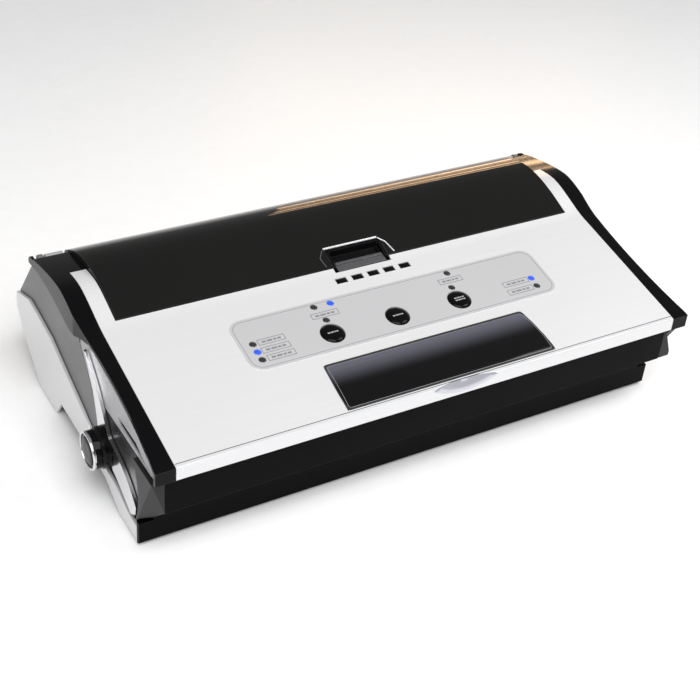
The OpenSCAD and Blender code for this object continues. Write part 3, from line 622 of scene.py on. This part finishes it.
sheen_ramp.color_ramp.elements[1].color = (0.115, 0.115, 0.145, 1)
sheen_ramp.color_ramp.elements[1].position = 0.75
tree.links.new(sheen_ramp.outputs[0], shader.inputs["Base Color"])


# %% Window outline
WINDOW_BOTTOM, WINDOW_TOP = 4.8, 42.0
CROWN_RADIUS, CROWN_RISE, CROWN_STEPS = 122.0, 1.4, 12
WINDOW_CORNER, PANEL_THICK, UPPER_SIDE = 3.2, 2.5, -1.0
WINDOW = ((-71.5, WINDOW_BOTTOM), (86.5, WINDOW_BOTTOM), (86.3, 17.0), (85.1, 30.0),
          (82.9, WINDOW_TOP), (-68.9, WINDOW_TOP), (-70.5, 22.0))


def window_face(shrink, corner):
    """A flat window outline with round corners and, where asked, an inset of its rim."""
    made = bmesh.new()
    made.faces.new([made.verts.new((x, y, 0)) for x, y in WINDOW])
    square = [v for v in made.verts if min(abs(v.co.y - WINDOW_BOTTOM), abs(v.co.y - WINDOW_TOP)) < 0.01]
    bmesh.ops.bevel(made, geom=square, offset=corner, offset_type="OFFSET", segments=6, profile=0.5,
                    affect="VERTICES", clamp_overlap=True, material=-1)
    made.normal_update()
    if made.faces[:][0].normal.z < 0:
        bmesh.ops.reverse_faces(made, faces=made.faces[:])
    if shrink:
        bmesh.ops.inset_region(made, faces=made.faces[:], thickness=shrink, use_even_offset=True,
                               use_boundary=True)
    return made


def crown(made, drop):
    """Cut the mesh across and lift its upper side to the window's arched section."""
    middle = (WINDOW_BOTTOM + WINDOW_TOP) / 2
    for step in range(1, CROWN_STEPS):
        cut = WINDOW_BOTTOM + (WINDOW_TOP - WINDOW_BOTTOM) * step / CROWN_STEPS
        bmesh.ops.bisect_plane(made, geom=made.verts[:] + made.edges[:] + made.faces[:], dist=1e-5,
                               plane_co=(0, cut, 0), plane_no=(0, 1, 0))
    for vert in made.verts:
        if vert.co.z > UPPER_SIDE:
            out = abs(vert.co.y - middle)
            vert.co.z += CROWN_RISE - CROWN_RADIUS + math.sqrt(CROWN_RADIUS ** 2 - out ** 2) - drop


# %% Window panel
panel = window_face(0, WINDOW_CORNER)
bmesh.ops.solidify(panel, geom=panel.faces[:], thickness=PANEL_THICK)
lowest = min(v.co.z for v in panel.verts)
bmesh.ops.translate(panel, verts=panel.verts, vec=(0, 0, -PANEL_THICK - lowest))
crown(panel, 0.06)
rim = [e for e in panel.edges if len(e.link_faces) == 2 and e.calc_face_angle(0) > 0.8
       and min(v.co.z for v in e.verts) > UPPER_SIDE]
bmesh.ops.bevel(panel, geom=rim, offset=0.7, offset_type="OFFSET", segments=3, profile=0.5,
                affect="EDGES", clamp_overlap=True, material=-1)
bmesh.ops.transform(panel, matrix=FACE, verts=panel.verts)
print("window rim edges", len(rim))
piece_from(panel, "window_panel", "lid", "window_black", ["window"], weighted=True)

# %% Window bead, a painted highlight
# The bead is a pale grey ring that paints the highlight along the window's rim.
bead_highlight = window_face(1.15, WINDOW_CORNER)
inner = max(bead_highlight.faces, key=lambda f: f.calc_area())
bmesh.ops.delete(bead_highlight, geom=[f for f in bead_highlight.faces if f is not inner], context="FACES")
bmesh.ops.inset_region(bead_highlight, faces=bead_highlight.faces[:], thickness=0.3, use_even_offset=True, use_boundary=True)
inner = max(bead_highlight.faces, key=lambda f: f.calc_area())
bmesh.ops.delete(bead_highlight, geom=[inner], context="FACES_ONLY")
bmesh.ops.solidify(bead_highlight, geom=bead_highlight.faces[:], thickness=0.05)
crown(bead_highlight, 0.03)
bmesh.ops.transform(bead_highlight, matrix=FACE, verts=bead_highlight.verts)
piece_from(bead_highlight, "window_bead_highlight", "lid", "window_black", look="label_grey")

# %% Window reveal
reveal = bmesh.new()
corners = ((-71.9, 4.3), (-71.0, 22.2), (-69.4, 42.4), (83.4, 42.4), (85.6, 30.2), (86.8, 17.0), (87.0, 4.3))
ring = [reveal.verts.new((x, y, 0.02)) for x, y in corners]
reveal.faces.new(ring)
at_corners = [v for v in ring if v.co.y < WINDOW_BOTTOM or v.co.y > WINDOW_TOP]
bmesh.ops.bevel(reveal, geom=at_corners, offset=2.2, offset_type="OFFSET", segments=5, profile=0.5,
                affect="VERTICES", clamp_overlap=True, material=-1)
reveal.normal_update()
bmesh.ops.inset_region(reveal, faces=reveal.faces[:], thickness=1.3, use_even_offset=True, use_boundary=True)
inner = max(reveal.faces, key=lambda f: f.calc_area())
bmesh.ops.delete(reveal, geom=[inner], context="FACES_ONLY")
bmesh.ops.solidify(reveal, geom=reveal.faces[:], thickness=0.35)
bmesh.ops.transform(reveal, matrix=FACE, verts=reveal.verts)
piece_from(reveal, "window_reveal", "lid", "rubber")

# %% [markdown]
# ## Level indicators
# Five small dark slots above the film show how far the vacuum has come. Each is a tinted
# lens in a pale pressed frame. They could be painted on the plate, but a real slot has an
# edge that catches light, so each lens is a bevelled block a little below the plate and each
# frame a thin outline a little above it. A loop places all five at one pitch.

# %% Level slots
SLOT_MIDDLE, SLOT_PITCH, SLOT_UP = 4, 12.4, 107
slots, frames = bmesh.new(), bmesh.new()
for i in range(5):
    x = SLOT_MIDDLE + SLOT_PITCH * (i - 2)
    at = FACE @ Matrix.Translation((x, SLOT_UP, 0))
    block(slots, (-4.0, -2.25, -3.1), (4.0, 2.25, -0.25), at, 0.3)
    block(slots, (-2.4, -2.2, -0.3), (-0.6, -1.3, -0.12), at)
    outline_box(frames, 0, 0, 9.6, 6.0, 0.55, 0.14, at)
piece_from(slots, "level_lenses", "lid", "gloss_black", ["level_windows"])
piece_from(frames, "level_frames", "lid", "bright_strip")

# %% [markdown]
# ## Overlay film
# The control film is a thin sheet with round corners. A merged copy of its solid stands
# for it, and a fine grey line just inside its edge marks the printed border. The line could
# be a mask in the material, but it has to follow round corners, and a grid face whose four
# corners are bevelled and whose middle is cut out after an inset gives exactly that.

# %% Film border
FILM_AT, FILM_SIZE = (5.4, 73, 0), (232.5, 40, 1, 1)
border = bmesh.new()
film = bmesh.ops.create_grid(border, x_segments=1, y_segments=1, size=0.5,
                             matrix=Matrix.Translation(FILM_AT) @ Matrix.Diagonal(FILM_SIZE))["verts"]
bmesh.ops.bevel(border, geom=film, offset=7.5, offset_type="OFFSET", segments=8, profile=0.5,
                affect="VERTICES", clamp_overlap=True, material=-1)
bmesh.ops.inset_region(border, faces=border.faces[:], thickness=0.4, use_even_offset=True, use_boundary=True)
inner = max(border.faces, key=lambda f: f.calc_area())
bmesh.ops.delete(border, geom=[inner], context="FACES_ONLY")
bmesh.ops.solidify(border, geom=border.faces[:], thickness=0.05)
bmesh.ops.transform(border, matrix=print_lift, verts=border.verts)
piece_from(border, "film_border", "lid", "overlay_film", look="label_grey")

# %% [markdown]
# ## Painted shadow in the seam between the plate and the strip
# The plate and the bright strip meet in a narrow shadow line. The gap alone could make the
# line, but it is so thin that light from the pale parts fills it. A dark strip with the rubber finish sits
# in it as painted shadow, made from one block, so the line stays dark whatever light falls on it.

# %% Plate seam shadow
# A dark block in the gap paints the shadow line.
seam_shadow = bmesh.new()
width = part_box("front_strip")[1].x / MM - 0.5
block(seam_shadow, (-width, 3.02, -0.9), (width, 3.42, 0.03), FACE)
piece_from(seam_shadow, "plate_seam_shadow", "lid", "rubber")

# %% [markdown]
# ## Painted shade in the wedge in the lid's side
# Each side wall of the lid has a long wedge-shaped recess. Its shade could be painted with
# a mask in the material, but it needs sharp edges from every side, so a thin dark plate inside the
# recess paints the shade. One four-cornered face is extruded to give it its thickness.

# %% Side wedge shade
shell_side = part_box("lid_shell")[1].x / MM
for side, name in ((-1, "left"), (1, "right")):
    # A thin dark plate inside the recess paints its shade.
    wedge_shade = bmesh.new()
    corners = [wedge_shade.verts.new((side * (shell_side - 1.18), y, z)) for y, z in
               ((61.2, 74.2), (57.6, 70.8), (22.5, 68.9), (34.6, 74.2))]
    wedge_shade.faces.new(corners)
    grown = bmesh.ops.extrude_face_region(wedge_shade, geom=wedge_shade.faces[:])
    bmesh.ops.translate(wedge_shade, vec=(side * 0.3, 0, 0),
                        verts=[g for g in grown["geom"] if isinstance(g, bmesh.types.BMVert)])
    bmesh.ops.transform(wedge_shade, matrix=Matrix.Translation((0, LID_FRONT, 0)) @ Matrix.Scale(MM, 4),
                        verts=wedge_shade.verts)
    piece_from(wedge_shade, "side_wedge_shade_" + name, "lid", "black_shell")

# %% [markdown]
# ## The latch
# The cover is opened by a small tab in front of a finger pocket. A wire frames the
# pocket: a thick bright bar along the top, a thin bright leg that curves down to the plate on the
# right and a thinner dark grey leg on the left. The wire is a curve with a round section, laid on the cover
# by dropping points onto it.

# %% Wire round the pocket
from mathutils.bvhtree import BVHTree
cover_mesh = NODES["roll_cover"].data
cover_tree = BVHTree.FromPolygons([v.co for v in cover_mesh.vertices],
                                  [tuple(p.vertices) for p in cover_mesh.polygons])


BESIDE_POCKET = -30
HIGH_ABOVE = 0.3


def drop_on_cover(x, y):
    return cover_tree.ray_cast(Vector((x * MM, LID_FRONT + y * MM, HIGH_ABOVE)), Vector((0, 0, -1)))[0]


def on_cover(x, y, lift):
    hit = drop_on_cover(x, y) or drop_on_cover(BESIDE_POCKET, y)
    return Vector((x * MM, LID_FRONT + y * MM, hit.z + lift * MM))


def wire(points, radius, sides=3):
    data = bpy.data.curves.new("wire", "CURVE")
    data.dimensions, data.bevel_depth, data.bevel_resolution = "3D", radius, sides
    data.use_fill_caps, data.resolution_u = True, 6
    spline = data.splines.new("NURBS")
    spline.points.add(len(points) - 1)
    for slot_point, point in zip(spline.points, points):
        slot_point.co = (*point, 1)
    spline.use_endpoint_u, spline.order_u = True, 3
    holder = bpy.data.objects.new("wire", data)
    bpy.context.scene.collection.objects.link(holder)
    bpy.context.view_layer.update()
    mesh = bpy.data.meshes.new_from_object(holder.evaluated_get(bpy.context.evaluated_depsgraph_get()))
    bpy.data.objects.remove(holder)
    shape = bmesh.new()
    shape.from_mesh(mesh)
    return shape


def span(a, b, n, lift):
    return [on_cover(a[0] + (b[0] - a[0]) * i / n, a[1] + (b[1] - a[1]) * i / n, lift) for i in range(n + 1)]


bar = wire(span((-21.5, 130.6), (20.5, 130.6), 8, 0.35), 0.75 * MM)
piece_from(bar, "latch_bar", "roll_cover", "bright_strip", ["latch_trim"])
right_leg = wire(span((21.2, 130.3), (25.2, 126.2), 3, 0.1) + span((25.6, 125.4), (28.2, 117.6), 4, 0.1),
                 0.42 * MM)
piece_from(right_leg, "latch_leg_right", "roll_cover", "bright_strip")
left_leg = wire(span((-22.5, 130.0), (-26.4, 125.0), 3, -0.05)
                + span((-26.6, 124.0), (-25.2, 117.6), 4, -0.05), 0.3 * MM)
piece_from(left_leg, "latch_leg_left", "roll_cover", "grey_tab")

# %% Latch tab
tab_low, tab_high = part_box("latch_tab")
tab = bmesh.new()
half = (tab_high.x - tab_low.x) / 2 / MM - 0.1
TAB_BACK, TAB_HEIGHT = 0.110, 0.1001
tab_at = (Matrix.Translation(((tab_low.x + tab_high.x) / 2, LID_FRONT + TAB_BACK, TAB_HEIGHT))
          @ Matrix.Rotation(FACE_SLOPE, 4, "X") @ Matrix.Scale(MM, 4))
block(tab, (-half, 3.1, 0.4), (half, 11.2, 1.3), tab_at, 0.35)
block(tab, (-half + 0.6, 8.6, 1.1), (half - 0.6, 10.9, 2.2), tab_at, 0.45)
block(tab, (-half + 2.6, 3.2, 1.1), (half - 0.6, 5.6, 1.95), tab_at, 0.4)
for i in range(9):
    block(tab, (-15 + i * 3.6, 6.3, 1.2), (-13.8 + i * 3.6, 7.9, 1.5), tab_at)
piece_from(tab, "latch_tab_ribbed", "latch", "grey_tab", ["latch_tab"])

# %% [markdown]
# ## The lock lever
# The lever is die cast and plated: a horn that rises behind the shaft and a broad crescent
# that sweeps forward, joined by a round boss. Its edges are well rounded, so the copy of
# its solid gets a wider bevel than the plastics. The hub is a spun cup with a black gloss
# face set inside a bright rim, and a thin bright arc raised on the face.

# %% Lever
softened("lever_arms", 0.7 * MM, 3)

# %% Hub
hub_low, hub_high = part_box("left_hub")
SHAFT = Matrix.Translation((0, (hub_low.y + hub_high.y) / 2, (hub_low.z + hub_high.z) / 2))
outward = SHAFT @ Matrix.Rotation(-math.pi / 2, 4, "Y") @ Matrix.Scale(MM, 4)
start = -hub_high.x / MM
end = -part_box("left_hub_cap")[0].x / MM
cup = ((4.1, start), (13.0, start), (13.5, start + 0.5), (13.5, start + 4.2), (13.0, start + 4.8),
       (12.5, start + 5.2), (12.5, end - 1.4), (12.1, end - 0.7), (11.6, end - 0.6), (11.2, end - 1.0),
       (11.1, end - 3.9), (4.1, end - 4.2), (4.1, start))
piece_from(lathe(cup, 72, outward), "hub_cup", "lever", "lever_metal", ["left_hub"], look="gloss_black")
rim = ((12.55, end - 2.0), (12.75, end - 1.6), (12.75, end - 0.9), (12.2, end - 0.2), (11.5, end - 0.1),
       (11.15, end - 0.6), (11.15, end - 1.2), (11.6, end - 0.9), (12.1, end - 1.0), (12.45, end - 1.5),
       (12.55, end - 2.0))
piece_from(lathe(rim, 72, outward), "hub_rim", "lever", "lever_metal")
face = ((0, end - 0.25), (4.0, end - 0.2), (8.2, end - 0.05), (9.0, end - 0.3), (9.3, end - 1.0),
        (10.9, end - 1.1), (11.0, end - 3.9), (0, end - 3.9))
piece_from(lathe(face, 64, outward), "hub_face", "lever", "gloss_black", ["left_hub_cap"])
face_arc = bmesh.new()
arc_points = [face_arc.verts.new((radius, 0, end - 0.2)) for radius in (4.4, 5.6)]
arc_edge = face_arc.edges.new(arc_points)
bmesh.ops.spin(face_arc, geom=arc_points + [arc_edge], cent=(0, 0, 0), axis=(0, 0, 1), angle=2.3, steps=18)
bmesh.ops.solidify(face_arc, geom=face_arc.faces[:], thickness=0.2)
bmesh.ops.transform(face_arc, matrix=outward @ Matrix.Rotation(-0.2, 4, "Z"), verts=face_arc.verts)
piece_from(face_arc, "hub_face_arc", "lever", "bright_strip")

# %% Right shaft cap
right_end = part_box("right_shaft_cap")[1].x / MM
right_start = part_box("right_shaft_cap")[0].x / MM
outward_right = SHAFT @ Matrix.Rotation(math.pi / 2, 4, "Y") @ Matrix.Scale(MM, 4)
knob = ((4.1, right_start), (13.0, right_start), (13.5, right_start + 0.5), (13.5, right_end - 7.2),
        (13.0, right_end - 6.6), (12.5, right_end - 6.2), (12.5, right_end - 1.2), (12.0, right_end - 0.5),
        (11.4, right_end - 0.3), (10.6, right_end - 0.9), (4, right_end - 0.7), (0, right_end - 0.65),
        (0, right_end - 4.0), (4.1, right_end - 4.2), (4.1, right_start))
piece_from(lathe(knob, 72, outward_right), "right_knob", "lever", "gloss_black", ["right_shaft_cap"])

# %% [markdown]
# ## Feet and screws
# Each foot is a rubber button with two grooves underneath, so it grips the worktop, and each
# screw has a rounded head with a cross. Both are round about one axis, so stacked cylinders
# would do, but a spun profile gives grooves and rounded edges in one go. The cross is two
# small bars in the head.

# %% Feet
feet = bmesh.new()
foot_low, foot_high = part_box("rubber_feet")
FOOT_R = 0.007
for x in (foot_low.x + FOOT_R, foot_high.x - FOOT_R):
    for y in (foot_low.y + FOOT_R, foot_high.y - FOOT_R):
        lathe(((0, 0.35), (2.4, 0.35), (2.6, 0.0), (3.4, 0.0), (3.6, 0.4), (4.6, 0.4), (4.8, 0.0), (6.5, 0.0),
               (7.0, 0.5), (7.0, 1.2), (6.7, 1.5), (2.55, 1.5), (2.55, 5.4), (0, 5.4)), 40,
              Matrix.Translation((x, y, 0)) @ Matrix.Scale(MM, 4), feet)
piece_from(feet, "feet_grooved", "base", "rubber", ["rubber_feet"])

# %% Screws
screws = bmesh.new()
SCREWS = ((120, 105), (140, 154))
screw_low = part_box("base_screws")[0].z
for x, y in SCREWS:
    for side in (-1, 1):
        at = Matrix.Translation((side * x * MM, LID_FRONT + y * MM, screw_low)) @ Matrix.Scale(MM, 4)
        lathe(((0, 0.9), (0.7, 0.9), (1.3, 0.15), (2.2, 0.0), (2.8, 0.5), (3.0, 1.2), (3.0, 2.1), (1.5, 2.1),
               (1.5, 16.0), (0, 16.0)), 28, at, screws)
        block(screws, (-1.2, -0.28, 0.25), (1.2, 0.28, 0.95), at)
        block(screws, (-0.28, -1.2, 0.25), (0.28, 1.2, 0.95), at)
piece_from(screws, "screws_cross", "base", "steel", ["base_screws"])

# %% [markdown]
# ## Inside the machine
# These parts show only when the lid or the cover is open. The motor is a spun can with a
# crimped end bell, the board carries separate components, and the hose is a soft tube on a
# curve from the port to the pump. They are built with a little care, since a part that
# looks finished from outside should not turn into blocks when it is opened.

# %% Motor
motor_low, motor_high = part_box("pump_motor")
motor_y, motor_z = (motor_low.y + motor_high.y) / 2, (motor_low.z + motor_high.z) / 2
along = (Matrix.Translation((0, motor_y, motor_z)) @ Matrix.Rotation(math.pi / 2, 4, "Y")
         @ Matrix.Scale(MM, 4))
m0, m1 = motor_low.x / MM, motor_high.x / MM
can = lathe(((0, m0), (2, m0), (2, m0 + 1.5), (4.9, m0 + 1.6), (5.0, m0 + 4.0), (12.6, m0 + 4.1),
             (13.8, m0 + 5.0), (14.0, m0 + 6.0), (14.0, m0 + 12), (13.6, m0 + 12.3), (13.6, m0 + 13.2),
             (14.0, m0 + 13.5), (14.0, m1 - 3), (13.4, m1 - 0.6), (12.4, m1), (0, m1)), 56, along)
piece_from(can, "motor_can", "base", "steel", ["pump_motor"])

# %% Hose
port_low, port_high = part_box("vacuum_port")
port_x, port_y = (port_low.x + port_high.x) / 2, (port_low.y + port_high.y) / 2
hose_low, hose_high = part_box("vacuum_hose")
HOSE_R = 0.0043
bend = hose_low.z + HOSE_R
path = [Vector((port_x, port_y, hose_high.z)), Vector((port_x, port_y, hose_high.z - 0.006)),
        Vector((port_x, port_y, bend + 0.006)), Vector((port_x, port_y - 0.001, bend + 0.0012)),
        Vector((port_x, port_y - 0.0055, bend)), Vector((port_x, hose_low.y + 0.002, bend)),
        Vector((port_x, hose_low.y, bend))]
piece_from(wire(path, 4.2 * MM, 6), "hose_bent", "base", "silicone", ["vacuum_hose"])

# %% Power board
in_mm = Matrix.Scale(MM, 4)
x0, y0, z0 = (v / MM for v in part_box("power_board")[0])
sheet = bmesh.new()
block(sheet, (x0, y0, z0), (x0 + 100, y0 + 39.5, z0 + 1.6), in_mm, 0.2)
piece_from(sheet, "board_sheet", "base", "circuit_board", ["power_board"])
core = bmesh.new()
block(core, (x0 + 6, y0 + 5, z0 + 1.6), (x0 + 38, y0 + 31, z0 + 8), in_mm, 0.4)
block(core, (x0 + 6, y0 + 5, z0 + 18), (x0 + 38, y0 + 31, z0 + 22.9), in_mm, 0.4)
block(core, (x0 + 6, y0 + 7, z0 + 8), (x0 + 11, y0 + 29, z0 + 18), in_mm, 0.3)
block(core, (x0 + 33, y0 + 7, z0 + 8), (x0 + 38, y0 + 29, z0 + 18), in_mm, 0.3)
piece_from(core, "transformer_core", "base", "steel")
winding = bmesh.new()
block(winding, (x0 + 11.3, y0 + 5.4, z0 + 8.2), (x0 + 32.7, y0 + 30.6, z0 + 17.8), in_mm, 1.5, 3)
piece_from(winding, "transformer_winding", "base", "heater_base")
cans = bmesh.new()
for x in (66, 80):
    lathe(((0, 0), (4.6, 0), (4.9, 0.5), (4.6, 1.2), (5.0, 1.8), (5.0, 15.0), (4.6, 15.8), (3.6, 15.9),
           (0, 15.6)), 32,
          in_mm @ Matrix.Translation((x0 + x, y0 + 17, z0 + 1.6)), cans)
piece_from(cans, "capacitors", "base", "gloss_black")
relay = bmesh.new()
block(relay, (x0 + 44, y0 + 7, z0 + 1.6), (x0 + 58, y0 + 27, z0 + 16), in_mm, 0.6)
for i in range(5):
    block(relay, (x0 + 88, y0 + 6 + i * 6, z0 + 1.6), (x0 + 96, y0 + 11 + i * 6, z0 + 8), in_mm, 0.4)
piece_from(relay, "relay_and_terminals", "base", "white_plastic")

# %% [markdown]
# ## The worktop
# The machine stands on a pale worktop, which only catches light and shadow. A curved
# backdrop could hide the horizon, but from this height a plane of eight metres fills the
# view, so one grid is enough.

# %% Floor
floor_mesh = bmesh.new()
bmesh.ops.create_grid(floor_mesh, x_segments=8, y_segments=8, size=4.0)
floor_data = bpy.data.meshes.new("floor")
floor_mesh.to_mesh(floor_data)
floor_mesh.free()
floor = bpy.data.objects.new("floor", floor_data)
bpy.context.scene.collection.objects.link(floor)
floor.data.materials.append(finish("worktop", (0.93, 0.93, 0.93), (0.5, 0.6), grain=60, grain_height=0.01))
